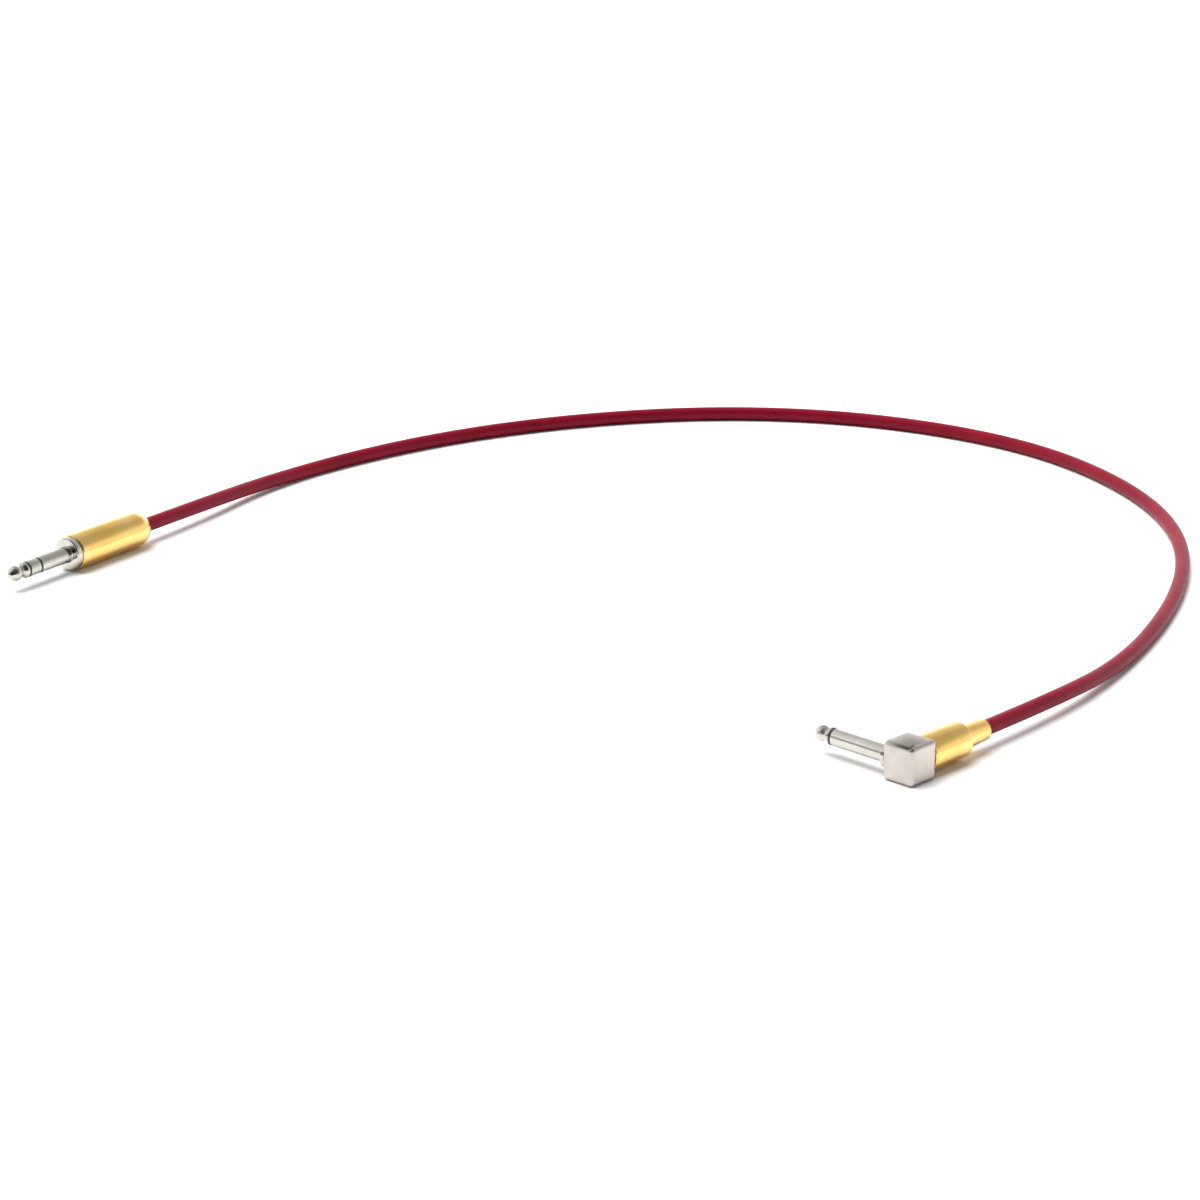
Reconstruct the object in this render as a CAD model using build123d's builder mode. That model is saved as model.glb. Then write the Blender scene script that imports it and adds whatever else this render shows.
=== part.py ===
from build123d import *
from math import cos, pi, radians, sin, tan
import os

# Instrument cable: a straight three-contact plug and a right-angle two-contact plug on a shielded cable.
# Sizes are in millimetres.

os.makedirs("parts", exist_ok=True)

# ---- Cable ----
cable_radius = 2.8
jacket_wall = 1.0
shield_wall = 0.4
conductor_radius = 0.35
cable_layer_gap = 0.05  # radial gap between the cable's layers
pigtail_radius = 0.4
solder_top_share = 0.6  # width of a solder mound's top against its base

# ---- Plug finger, the same standard 6.35 mm on both plugs ----
finger_radius = 3.175
finger_length = 31.75
# The tip's profile, as (distance from the nose, radius) at the end of each stretch
nose_flat = (0.0, 0.52)
nose_end = (1.04, 1.755)
cone_end = (2.7, 2.925)
crown_end = (3.9, 3.025)
neck_start = (5.6, 2.35)
neck_end = (6.8, 2.35)
nose_bend = 1.3
crown_bend = 1.2
neck_bend = 0.9
tip_land = 0.9  # full-width band behind the neck
rod_radius = 0.8
layer_gap = 0.05  # radial gap between nested pieces of a finger
inner_tube_radius = 1.25
ring_tube_radius = 1.7
outer_tube_radius = 2.15
barrel_bore_radius = 2.2
tag_thickness = 0.5
rivet_radius = 1.3
rivet_length = 0.6
rivet_taper = 0.7  # width of a rivet head's end against its root

# ---- Straight plug ----
straight_x = -177.8
straight_y = 68.06
straight_azimuth = 54.0
tip_end = 8.7  # back face of the tip, measured from the plug's nose
front_ring_end = 9.7
ring_contact_end = 14.9
rear_ring_end = 15.9
flange_inset = 0.5  # the shell stands this far proud of the flange
flange_thickness = 2.8
flange_chamfer = 0.5
spigot_radius = 5.0
spigot_length = 7.0
thread_gap = 0.05  # radial running fit of a thread, drawn as plain cylinders
shell_wall = 1.85
shell_seat_gap = 0.1
shell_length = 41.2
shell_taper_length = 7.5
shell_end_radius = 4.4
shell_rear_wall = 7.0
shell_rim_chamfer = 0.4
shell_end_chamfer = 0.6
cable_hole_gap = 0.5  # radial room for the cable in a rear hole
liner_wall = 0.5
liner_length = 26.0
liner_gap = 0.3
washer_room = 0.15  # from the ring washer to the strap beside it
tip_washer_step = 0.2  # the tip washer is this much smaller in radius
ground_washer_radius = 4.3
ground_strap_width = 2.6
ground_strap_length = 17.0
clamp_gap = 0.05
clamp_thickness = 0.6
clamp_length = 5.5
clamp_mouth_angle = 60.0
tip_disc_radius = 2.0
foot_gap = 0.1
foot_thickness = 0.9
riser_gap = 0.3
tab_length = 4.0
ring_washer_length = 2.0
tip_washer_length = 1.5
tag_length = 5.4
tag_width = 2.4
tag_hole_radius = 0.6
tag_hole_inset = 1.3

# ---- Right-angle plug ----
angle_x = 148.37
angle_y = -124.0
angle_azimuth = 46.2
body_height = 14.0
body_width = 13.0  # along the finger
body_front = 5.3  # end face to finger axis
body_back = 7.7  # finger axis to the face that carries the gold sleeve
body_rounding = 1.6
shoulder_radius = 4.5
shoulder_length = 2.0
shoulder_chamfer = 0.3
shank_radius = 3.7
front_wall = 3.0
chamber_wall = 1.8
back_wall = 2.8
cover_thickness = 1.4
cover_rim_depth = 2.0
cover_rim_thickness = 0.7
cover_gap = 0.05
cover_sheet_thickness = 0.4
notch_length = 3.6
notch_width = 1.1
notch_depth = 0.8
angle_tip_end = 8.0
angle_ring_end = 9.0
angle_washer_radius = 2.9
angle_washer_length = 1.2
lug_face = 2.5  # finger axis to the lug that takes the conductor
lug_back = 1.9  # the lug's foot reaches this far past the finger axis
lug_tail = 1.6  # how far the lug reaches past the conductor
lug_foot_width = 3.4
lug_hole_gap = 0.1
angle_spigot_length = 6.5
sleeve_wall = 1.35
sleeve_seat_gap = 0.15
sleeve_barrel_length = 19.4
sleeve_step_length = 1.6
sleeve_length = 32.5
sleeve_neck_root_radius = 4.5
sleeve_neck_radius = 3.9
sleeve_bore_depth = 17.0
sleeve_cone_length = 2.0  # the bore's closing cone, which squeezes the collet
sleeve_end_chamfer = 0.3
collet_length = 9.0
collet_room = 0.45  # from the collet to the sleeve's bore
collet_slit_width = 0.8
collet_gap = 0.3
collet_cone_length = 1.2
collet_nose_radius = 3.7
collet_collar_length = 2.0

# ---- Cable route: corners in plan, on the floor except at the two plugs ----
straight_jacket_start = 58.5  # from the straight plug's nose
angle_jacket_end = 11.2  # from the right-angle plug's finger axis
straight_run = 44.5
angle_run = 65.5
route_plan = [
    (-89.0, 203.0),
    (-49.0, 243.0),
    (-5.0, 273.0),
    (44.0, 293.0),
    (95.0, 302.0),
    (146.0, 297.0),
    (193.0, 277.0),
    (232.0, 245.0),
    (258.5, 201.0),
    (272.5, 153.0),
    (273.0, 102.0),
    (260.0, 45.0),
    (234.5, -17.0),
]
arc_share = 0.45  # share of the shorter run that an arc takes up

# ---- Stripped ends of the cable ----
shield_bared = 1.0
insulation_bared = 7.0
conductor_gap = 0.1
lug_room = 1.9  # from the insulation's end to the lug
conductor_past_lug = 0.9
pigtail_lift = 0.3  # from the insulation to the pigtail where it leaves the shield
pigtail_drop = 2.6  # along the cable, from the shield to where the pigtail lies flat
pigtail_flat = 3.4
pigtail_bend = 3.0
pigtail_slope = 0.1
ceiling_rise_start = 0.8  # from the chamber's back wall, where the other pigtail turns up
ceiling_rise_end = 2.4
ceiling_wire_end = 5.2
ceiling_bend = 0.9

# ---- Solder joints ----
tip_solder_at = 1.7  # from the conductor's end
tip_solder_radius = 1.1
tip_solder_height = 1.0
ground_solder_at = 4.6  # from the shield's end
ground_solder_radius = 1.2
ground_solder_height = 1.2
ceiling_solder_at = 4.1  # from the chamber's back wall
ceiling_solder_radius = 1.0
ceiling_solder_height = 1.1
bead_radius = 1.0
bead_end_radius = 0.5
bead_length = 0.9
bead_front_length = 0.6

# ---- Worked out from the sizes above ----
jacket_bore_radius = cable_radius - jacket_wall
shield_radius = jacket_bore_radius - cable_layer_gap
shield_bore_radius = shield_radius - shield_wall
insulation_radius = shield_bore_radius - cable_layer_gap
insulation_bore_radius = conductor_radius + cable_layer_gap
shell_bore_radius = spigot_radius + thread_gap
shell_radius = shell_bore_radius + shell_wall
flange_radius = shell_radius - flange_inset
sleeve_radius = shell_bore_radius + sleeve_wall
collet_radius = shell_bore_radius - collet_room
cable_hole_radius = cable_radius + cable_hole_gap
flange_end = finger_length + flange_thickness
spigot_end = flange_end + spigot_length
ring_tube_end = spigot_end + tag_thickness + ring_washer_length
tip_tag_start = ring_tube_end + tag_thickness + tip_washer_length
rod_end = tip_tag_start + tag_thickness
strap_top = cable_radius + clamp_gap
washer_radius = strap_top - washer_room
tip_washer_radius = washer_radius - tip_washer_step
shell_start = flange_end + shell_seat_gap
finger_reach = body_width / 2 + shoulder_length + finger_length
sleeve_start = body_back + sleeve_seat_gap
sleeve_end = body_back + sleeve_length
chamber_top = body_height / 2 - chamber_wall
chamber_back = body_back - back_wall
cover_seam = -body_width / 2 + cover_thickness
wall_inside = body_width / 2 - front_wall
angle_tag_face = wall_inside - angle_washer_length

straight_dir = Vector(cos(radians(straight_azimuth)), sin(radians(straight_azimuth)), 0)
sleeve_dir = Vector(cos(radians(angle_azimuth)), sin(radians(angle_azimuth)), 0)
up = Vector(0, 0, 1)

# Straight plug: x runs from the nose to the cable. Its side plane has y up, its top plane has z up.
straight_nose = Vector(straight_x, straight_y, shell_radius)
straight_side = Plane(origin=straight_nose, x_dir=straight_dir, z_dir=straight_dir.cross(up))
straight_top = Plane(origin=straight_nose, x_dir=straight_dir, z_dir=up)
straight_axis = Axis(straight_nose, straight_dir)

# Right-angle plug: x runs out through the gold sleeve, y out through the finger, from where they cross.
angle_centre = Vector(angle_x, angle_y, body_height / 2)
angle_top = Plane(origin=angle_centre, x_dir=sleeve_dir, z_dir=up)
angle_side = Plane(origin=angle_centre, x_dir=sleeve_dir, z_dir=sleeve_dir.cross(up))
finger_dir = up.cross(sleeve_dir)
finger_nose = angle_centre + finger_dir * finger_reach
finger_plane = Plane(origin=finger_nose, x_dir=-finger_dir, z_dir=up)
finger_axis = Axis(finger_nose, -finger_dir)
sleeve_axis = Axis(angle_centre, sleeve_dir)


def turned(plane, axis, corners):
    """A turned piece from the (along, radius) corners of its half section."""
    with BuildPart() as piece:
        with BuildSketch(plane):
            with BuildLine():
                Polyline(*corners, close=True)
            make_face()
        revolve(axis=axis)
    return piece


def ringed_tube(plane, axis, front, ring_end, tube_end, tube_outer, tube_inner, ring_outer):
    """An insulator or ring contact: a wide ring in front and a thin tube behind it."""
    return turned(plane, axis, [
        (front, tube_inner),
        (front, ring_outer),
        (ring_end, ring_outer),
        (ring_end, tube_outer),
        (tube_end, tube_outer),
        (tube_end, tube_inner),
    ])


def tip_contact(plane, axis, head_end, tail_end):
    """A plug's nose with its bulge and latch neck, and the rod through the finger to its rivet."""
    with BuildPart() as piece:
        with BuildSketch(plane):
            with BuildLine():
                Line((0, 0), nose_flat)
                RadiusArc(nose_flat, nose_end, nose_bend)
                Line(nose_end, cone_end)
                RadiusArc(cone_end, crown_end, crown_bend)
                Line(crown_end, neck_start)
                RadiusArc(neck_start, neck_end, -neck_bend)
                Polyline(
                    neck_end,
                    (head_end - tip_land, finger_radius),
                    (head_end, finger_radius),
                    (head_end, rod_radius),
                    (tail_end, rod_radius),
                    (tail_end, rivet_radius),
                    (tail_end + rivet_length, rivet_taper * rivet_radius),
                    (tail_end + rivet_length, 0),
                    (0, 0),
                )
            make_face()
        revolve(axis=axis)
    return piece


def annulus(plane, outer, inner, length):
    """A plain washer or tube that starts on a plane."""
    with BuildPart() as piece:
        with BuildSketch(plane):
            Circle(outer)
            Circle(inner, mode=Mode.SUBTRACT)
        extrude(amount=length)
    return piece


def cross_plane(plane, along):
    """The plane square to a plug's axis at a distance along it."""
    return Plane(origin=plane.from_local_coords((along, 0, 0)), x_dir=up, z_dir=plane.x_dir)


pieces = {}

# ---- Straight plug: finger ----
pieces["straight_tip_contact"] = tip_contact(straight_side, straight_axis, tip_end, rod_end)
pieces["straight_front_insulator"] = ringed_tube(
    straight_side, straight_axis, tip_end, front_ring_end, tip_tag_start,
    inner_tube_radius, rod_radius + layer_gap, finger_radius)
pieces["straight_ring_contact"] = ringed_tube(
    straight_side, straight_axis, front_ring_end, ring_contact_end, ring_tube_end + tag_thickness,
    ring_tube_radius, inner_tube_radius + layer_gap, finger_radius)
pieces["straight_rear_insulator"] = ringed_tube(
    straight_side, straight_axis, ring_contact_end, rear_ring_end, spigot_end + tag_thickness,
    outer_tube_radius, ring_tube_radius + layer_gap, finger_radius)

with BuildPart() as straight_sleeve_contact:
    with BuildSketch(straight_side):
        with BuildLine():
            Polyline(
                (rear_ring_end, barrel_bore_radius),
                (rear_ring_end, finger_radius),
                (finger_length, finger_radius),
                (finger_length, flange_radius - flange_chamfer),
                (finger_length + flange_chamfer, flange_radius),
                (flange_end, flange_radius),
                (flange_end, spigot_radius),
                (spigot_end - flange_chamfer, spigot_radius),
                (spigot_end, spigot_radius - flange_chamfer),
                (spigot_end, barrel_bore_radius),
                close=True,
            )
        make_face()
    revolve(axis=straight_axis)
pieces["straight_sleeve_contact"] = straight_sleeve_contact

# ---- Straight plug: terminals behind the threaded spigot ----
pieces["straight_ring_washer"] = annulus(
    cross_plane(straight_side, spigot_end + tag_thickness),
    washer_radius, ring_tube_radius + layer_gap, ring_washer_length)
pieces["straight_tip_washer"] = annulus(
    cross_plane(straight_side, ring_tube_end + tag_thickness),
    tip_washer_radius, inner_tube_radius + layer_gap, tip_washer_length)

lug_top = washer_radius + tag_thickness
with BuildPart() as straight_ring_terminal:
    with BuildSketch(cross_plane(straight_side, ring_tube_end)):
        Circle(washer_radius)
        with Locations((lug_top / 2, 0)):
            Rectangle(lug_top, tag_width)
        Circle(ring_tube_radius + layer_gap, mode=Mode.SUBTRACT)
    extrude(amount=tag_thickness)
    with BuildSketch(straight_top.offset(washer_radius)):
        with Locations((ring_tube_end + tag_length / 2, 0)):
            Rectangle(tag_length, tag_width)
        with Locations((ring_tube_end + tag_length - tag_hole_inset, 0)):
            Circle(tag_hole_radius, mode=Mode.SUBTRACT)
    extrude(amount=tag_thickness)
pieces["straight_ring_terminal"] = straight_ring_terminal

# The tag steps down under the rivet head and up again to carry the conductor.
foot_top = -rivet_radius - foot_gap
foot_bottom = foot_top - foot_thickness
riser_start = rod_end + rivet_length + riser_gap
riser_end = riser_start + tag_thickness
tab_top = -conductor_radius
tab_end = riser_start + tab_length
with BuildPart() as straight_tip_terminal:
    with BuildSketch(cross_plane(straight_side, tip_tag_start)):
        Circle(tip_disc_radius)
        Circle(rod_radius, mode=Mode.SUBTRACT)
    extrude(amount=tag_thickness)
    with BuildSketch(straight_side):
        with BuildLine():
            Polyline(
                (tip_tag_start, foot_bottom),
                (riser_end, foot_bottom),
                (riser_end, tab_top - tag_thickness),
                (tab_end, tab_top - tag_thickness),
                (tab_end, tab_top),
                (riser_start, tab_top),
                (riser_start, foot_top),
                (tip_tag_start, foot_top),
                close=True,
            )
        make_face()
    extrude(amount=tag_width / 2, both=True)
pieces["straight_tip_terminal"] = straight_tip_terminal

with BuildPart() as straight_ground_terminal:
    with BuildSketch(cross_plane(straight_side, spigot_end)):
        Circle(ground_washer_radius)
        Circle(outer_tube_radius + layer_gap, mode=Mode.SUBTRACT)
    extrude(amount=tag_thickness)
    with BuildSketch(straight_top.offset(-strap_top - clamp_thickness)):
        with Locations((spigot_end + (ground_strap_length + clamp_length) / 2, 0)):
            Rectangle(ground_strap_length + clamp_length, ground_strap_width)
    extrude(amount=clamp_thickness)
    # Two claws fold round the jacket and leave a mouth at the top.
    with BuildSketch(cross_plane(straight_side, spigot_end + ground_strap_length)):
        Circle(strap_top + clamp_thickness)
        Circle(strap_top, mode=Mode.SUBTRACT)
        with BuildLine():
            reach = 2 * cable_radius
            Polyline((0, 0), (reach, reach * tan(radians(clamp_mouth_angle / 2))),
                     (reach, -reach * tan(radians(clamp_mouth_angle / 2))), close=True)
        make_face(mode=Mode.SUBTRACT)
    extrude(amount=clamp_length)
    with BuildSketch(cross_plane(straight_side, spigot_end + tag_thickness)):
        Circle(strap_top)
    extrude(amount=ground_strap_length + clamp_length, mode=Mode.SUBTRACT)
pieces["straight_ground_terminal"] = straight_ground_terminal

# ---- Straight plug: gold shell and its insulating liner ----
with BuildPart() as straight_shell:
    with BuildSketch(straight_side):
        shell_stop = shell_start + shell_length
        taper_start = shell_stop - shell_taper_length
        with BuildLine():
            front = Polyline(
                (shell_start, shell_bore_radius),
                (shell_start, shell_radius - shell_rim_chamfer),
                (shell_start + shell_rim_chamfer, shell_radius),
                (taper_start, shell_radius),
            )
            shoulder_end = (shell_stop - shell_end_chamfer, shell_end_radius)
            shoulder = TangentArc(front @ 1, shoulder_end, tangent=(1, 0))
            Polyline(
                shoulder @ 1,
                (shell_stop, shell_end_radius - shell_end_chamfer),
                (shell_stop, cable_hole_radius),
                (shell_stop - shell_rear_wall, cable_hole_radius),
                (shell_stop - shell_rear_wall, shell_bore_radius),
                front @ 0,
            )
        make_face()
    revolve(axis=straight_axis)
pieces["straight_shell"] = straight_shell

pieces["straight_shell_liner"] = annulus(
    cross_plane(straight_side, spigot_end + liner_gap),
    spigot_radius, spigot_radius - liner_wall, liner_length)

# ---- Right-angle plug: finger ----
angle_wall_face = finger_reach - wall_inside  # measured from the finger's nose
angle_rod_end = finger_reach - angle_tag_face + tag_thickness
pieces["angle_tip_contact"] = tip_contact(finger_plane, finger_axis, angle_tip_end, angle_rod_end)
pieces["angle_tip_insulator"] = ringed_tube(
    finger_plane, finger_axis, angle_tip_end, angle_ring_end, angle_wall_face,
    outer_tube_radius, rod_radius + layer_gap, finger_radius)
pieces["angle_sleeve_contact"] = turned(finger_plane, finger_axis, [
    (angle_ring_end, barrel_bore_radius),
    (angle_ring_end, finger_radius),
    (finger_length, finger_radius),
    (finger_length, shoulder_radius - shoulder_chamfer),
    (finger_length + shoulder_chamfer, shoulder_radius),
    (finger_length + shoulder_length, shoulder_radius),
    (finger_length + shoulder_length, shank_radius),
    (angle_wall_face, shank_radius),
    (angle_wall_face, barrel_bore_radius),
])

# ---- Right-angle plug: die-cast body and its cover, cut from one rounded block ----
block_mid = (body_back - body_front) / 2
seam_middle = angle_top.from_local_coords((0, cover_seam, 0))
seam_plane = Plane(origin=seam_middle, x_dir=sleeve_dir, z_dir=finger_dir)
chamber_length = chamber_back + body_front - chamber_wall
chamber_mid = (chamber_back - body_front + chamber_wall) / 2


def rounded_block(keep):
    """The plug's outer block, kept on one side of the cover seam."""
    with BuildPart() as block:
        with BuildSketch(angle_top.offset(-body_height / 2)):
            with Locations((block_mid, 0)):
                Rectangle(body_front + body_back, body_width)
        extrude(amount=body_height)
        fillet(block.edges(), radius=body_rounding)
        split(bisect_by=seam_plane, keep=keep)
    return block


with BuildPart() as angle_body:
    add(rounded_block(Keep.TOP).part)
    with BuildSketch(seam_plane):
        with Locations((chamber_mid, 0)):
            Rectangle(chamber_length, 2 * chamber_top)
    extrude(amount=wall_inside - cover_seam, mode=Mode.SUBTRACT)
    with BuildSketch(Plane(origin=finger_nose, x_dir=up, z_dir=-finger_dir)):
        Circle(shank_radius)
    extrude(amount=angle_wall_face, mode=Mode.SUBTRACT)
    with BuildSketch(cross_plane(angle_side, body_back)):
        Circle(spigot_radius)
    extrude(amount=angle_spigot_length)
    with BuildSketch(cross_plane(angle_side, chamber_back)):
        Circle(cable_hole_radius)
    extrude(amount=back_wall + angle_spigot_length, mode=Mode.SUBTRACT)
    # A small notch at the seam takes the blade that prises the cover off.
    with BuildSketch(angle_top.offset(body_height / 2 - notch_depth)):
        with Locations((-body_front + notch_length / 2, cover_seam + notch_width / 2)):
            Rectangle(notch_length, notch_width)
    extrude(amount=notch_depth, mode=Mode.SUBTRACT)
pieces["angle_body"] = angle_body

with BuildPart() as angle_cover:
    add(rounded_block(Keep.BOTTOM).part)
    with BuildSketch(seam_plane):
        with Locations((chamber_mid, 0)):
            Rectangle(chamber_length - 2 * cover_gap, 2 * (chamber_top - cover_gap))
            Rectangle(chamber_length - 2 * (cover_gap + cover_rim_thickness),
                      2 * (chamber_top - cover_gap - cover_rim_thickness), mode=Mode.SUBTRACT)
    extrude(amount=cover_rim_depth)
pieces["angle_cover"] = angle_cover

with BuildPart() as angle_cover_sheet:
    with BuildSketch(seam_plane):
        with Locations((chamber_mid, 0)):
            Rectangle(chamber_length - 2 * (2 * cover_gap + cover_rim_thickness),
                      2 * (chamber_top - 2 * cover_gap - cover_rim_thickness))
    extrude(amount=cover_sheet_thickness)
pieces["angle_cover_sheet"] = angle_cover_sheet

# ---- Right-angle plug: terminal ----
pieces["angle_terminal_washer"] = annulus(
    Plane(origin=angle_top.from_local_coords((0, wall_inside, 0)), x_dir=up, z_dir=-finger_dir),
    angle_washer_radius, rod_radius + layer_gap, angle_washer_length)

with BuildPart() as angle_tip_terminal:
    with BuildSketch(Plane(origin=angle_top.from_local_coords((0, angle_tag_face, 0)),
                           x_dir=sleeve_dir, z_dir=-finger_dir)):
        with Locations(((lug_face + tag_thickness - lug_back) / 2, 0)):
            Rectangle(lug_face + tag_thickness + lug_back, lug_foot_width)
        Circle(rod_radius, mode=Mode.SUBTRACT)
    extrude(amount=tag_thickness)
    with BuildSketch(cross_plane(angle_side, lug_face)):
        with Locations((0, (lug_tail - angle_tag_face) / 2)):
            Rectangle(tag_width, angle_tag_face + lug_tail)
        Circle(conductor_radius + lug_hole_gap, mode=Mode.SUBTRACT)
    extrude(amount=tag_thickness)
pieces["angle_tip_terminal"] = angle_tip_terminal

# ---- Right-angle plug: gold sleeve and the split collet inside it ----
pieces["angle_sleeve"] = turned(angle_side, sleeve_axis, [
    (sleeve_start, shell_bore_radius),
    (sleeve_start, sleeve_radius - shell_rim_chamfer),
    (sleeve_start + shell_rim_chamfer, sleeve_radius),
    (body_back + sleeve_barrel_length, sleeve_radius),
    (body_back + sleeve_barrel_length + sleeve_step_length, sleeve_neck_root_radius),
    (sleeve_end - sleeve_end_chamfer, sleeve_neck_radius),
    (sleeve_end, sleeve_neck_radius - sleeve_end_chamfer),
    (sleeve_end, cable_hole_radius),
    (body_back + sleeve_bore_depth + sleeve_cone_length, cable_hole_radius),
    (body_back + sleeve_bore_depth, shell_bore_radius),
])

collet_start = body_back + angle_spigot_length + collet_gap
with BuildPart() as angle_collet:
    with BuildSketch(angle_side):
        with BuildLine():
            Polyline(
                (collet_start, cable_radius + clamp_gap),
                (collet_start, collet_radius),
                (collet_start + collet_length - collet_cone_length, collet_radius),
                (collet_start + collet_length, collet_nose_radius),
                (collet_start + collet_length, cable_radius + clamp_gap),
                close=True,
            )
        make_face()
    revolve(axis=sleeve_axis)
    # Slits let the jaws close on the jacket.
    with BuildSketch(cross_plane(angle_side, collet_start + collet_collar_length)):
        Rectangle(3 * collet_radius, collet_slit_width)
        Rectangle(collet_slit_width, 3 * collet_radius)
    extrude(amount=collet_length, mode=Mode.SUBTRACT)
pieces["angle_collet"] = angle_collet

# ---- Cable: four nested layers along one route ----
straight_at = straight_side.from_local_coords
angle_at = angle_side.from_local_coords
first_corner = straight_at((straight_jacket_start + straight_run, 0, 0))
last_corner = angle_at((angle_jacket_end + angle_run, 0, 0))
corners = [first_corner, *[Vector(x, y, cable_radius) for x, y in route_plan], last_corner]


def corner_radii(points):
    """The largest arcs that the runs beside each corner allow."""
    radii = []
    for before, corner, after in zip(points, points[1:], points[2:]):
        run_in = corner - before
        run_out = after - corner
        half_turn = radians(run_in.get_angle(run_out)) / 2
        radii.append(arc_share * min(run_in.length, run_out.length) / tan(half_turn))
    return radii


jacket_route = [straight_at((straight_jacket_start, 0, 0)), *corners, angle_at((angle_jacket_end, 0, 0))]
route_radii = corner_radii(jacket_route)


def cable_layer(outer, inner, straight_start, angle_end):
    """One layer of the cable, from a distance along the straight plug to one along the gold sleeve."""
    start = straight_at((straight_start, 0, 0))
    with BuildPart() as layer:
        with BuildLine() as route:
            FilletPolyline(start, *corners, angle_at((angle_end, 0, 0)), radius=route_radii)
        with BuildSketch(Plane(origin=start, x_dir=up, z_dir=straight_dir)):
            Circle(outer)
            if inner:
                Circle(inner, mode=Mode.SUBTRACT)
        sweep(path=route.wires()[0])
    length = route.wires()[0].length
    fullness = layer.part.volume / (pi * (outer**2 - inner**2) * length)
    print("layer", outer, "length", round(length, 1), "volume share of the full tube", round(fullness, 4))
    return layer


shield_start = straight_jacket_start - shield_bared
insulation_start = straight_jacket_start - insulation_bared
conductor_start = riser_end + conductor_gap
shield_end = angle_jacket_end - shield_bared
insulation_end = lug_face + lug_room
conductor_end = lug_face - conductor_past_lug
pieces["cable_jacket"] = cable_layer(
    cable_radius, jacket_bore_radius, straight_jacket_start, angle_jacket_end)
pieces["cable_shield"] = cable_layer(shield_radius, shield_bore_radius, shield_start, shield_end)
pieces["cable_insulation"] = cable_layer(
    insulation_radius, insulation_bore_radius, insulation_start, insulation_end)
pieces["cable_conductor"] = cable_layer(conductor_radius, 0, conductor_start, conductor_end)
print("route radii", [round(radius) for radius in route_radii])

# ---- Shield pigtails, drawn out of the shield and laid where they are soldered ----
pigtail_height = insulation_radius + pigtail_lift + pigtail_radius


def pigtail(route_points, bend, across):
    """A round wire along a line with rounded corners."""
    with BuildPart() as piece:
        with BuildLine() as twist:
            FilletPolyline(*route_points, radius=bend)
        with BuildSketch(Plane(origin=twist.wires()[0] @ 0, x_dir=across, z_dir=twist.wires()[0] % 0)):
            Circle(pigtail_radius)
        sweep(path=twist.wires()[0])
    return piece


strap_lie = strap_top - pigtail_radius
pigtail_landing = shield_start - pigtail_drop
pieces["straight_pigtail"] = pigtail(
    [
        straight_at((shield_start, -pigtail_height, 0)),
        straight_at((pigtail_landing, -strap_lie, 0)),
        straight_at((pigtail_landing - pigtail_flat, -strap_lie, 0)),
    ],
    pigtail_bend, up.cross(straight_dir))

ceiling_lie = chamber_top - pigtail_radius
pieces["angle_pigtail"] = pigtail(
    [
        angle_at((shield_end, pigtail_height, 0)),
        angle_at((chamber_back - ceiling_rise_start, pigtail_height + pigtail_slope, 0)),
        angle_at((chamber_back - ceiling_rise_end, ceiling_lie, 0)),
        angle_at((chamber_back - ceiling_wire_end, ceiling_lie, 0)),
    ],
    ceiling_bend, finger_dir)


# ---- Solder over the wires ----
def solder_mound(plane, along, base_radius, height, wire_radius):
    """A low cone of solder on a plane, arched over the wire that lies along the plane's x."""
    foot = Plane(origin=plane.from_local_coords((along, 0, 0)), x_dir=plane.x_dir, z_dir=plane.z_dir)
    with BuildPart(foot) as piece:
        Cone(base_radius, solder_top_share * base_radius, height,
             align=(Align.CENTER, Align.CENTER, Align.MIN))
        with BuildSketch(Plane(origin=foot.origin, x_dir=foot.z_dir, z_dir=foot.x_dir)):
            with Locations((wire_radius, 0)):
                Circle(wire_radius)
            with Locations((wire_radius / 2, 0)):
                Rectangle(wire_radius, 2 * wire_radius)
        extrude(amount=2 * base_radius, both=True, mode=Mode.SUBTRACT)
    return piece


ceiling_middle = angle_top.from_local_coords((0, 0, chamber_top))
chamber_ceiling = Plane(origin=ceiling_middle, x_dir=sleeve_dir, z_dir=-up)
pieces["straight_tip_solder"] = solder_mound(
    straight_top.offset(tab_top), conductor_start + tip_solder_at,
    tip_solder_radius, tip_solder_height, conductor_radius)
pieces["straight_ground_solder"] = solder_mound(
    straight_top.offset(-strap_top), shield_start - ground_solder_at,
    ground_solder_radius, ground_solder_height, pigtail_radius)
pieces["angle_ground_solder"] = solder_mound(
    chamber_ceiling, chamber_back - ceiling_solder_at,
    ceiling_solder_radius, ceiling_solder_height, pigtail_radius)
lug_hole = conductor_radius + lug_hole_gap
pieces["angle_tip_solder"] = turned(angle_side, sleeve_axis, [
    (lug_face - bead_front_length, conductor_radius),
    (lug_face - bead_front_length, bead_end_radius),
    (lug_face, bead_radius),
    (lug_face, lug_hole),
    (lug_face + tag_thickness, lug_hole),
    (lug_face + tag_thickness, bead_radius),
    (lug_face + tag_thickness + bead_length, bead_end_radius),
    (lug_face + tag_thickness + bead_length, conductor_radius),
])

for name, piece in pieces.items():
    piece.part.label = name
    export_step(piece.part, f"parts/{name}.step")
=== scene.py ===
import bpy
import bmesh
import math
from mathutils import Matrix, Vector


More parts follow.
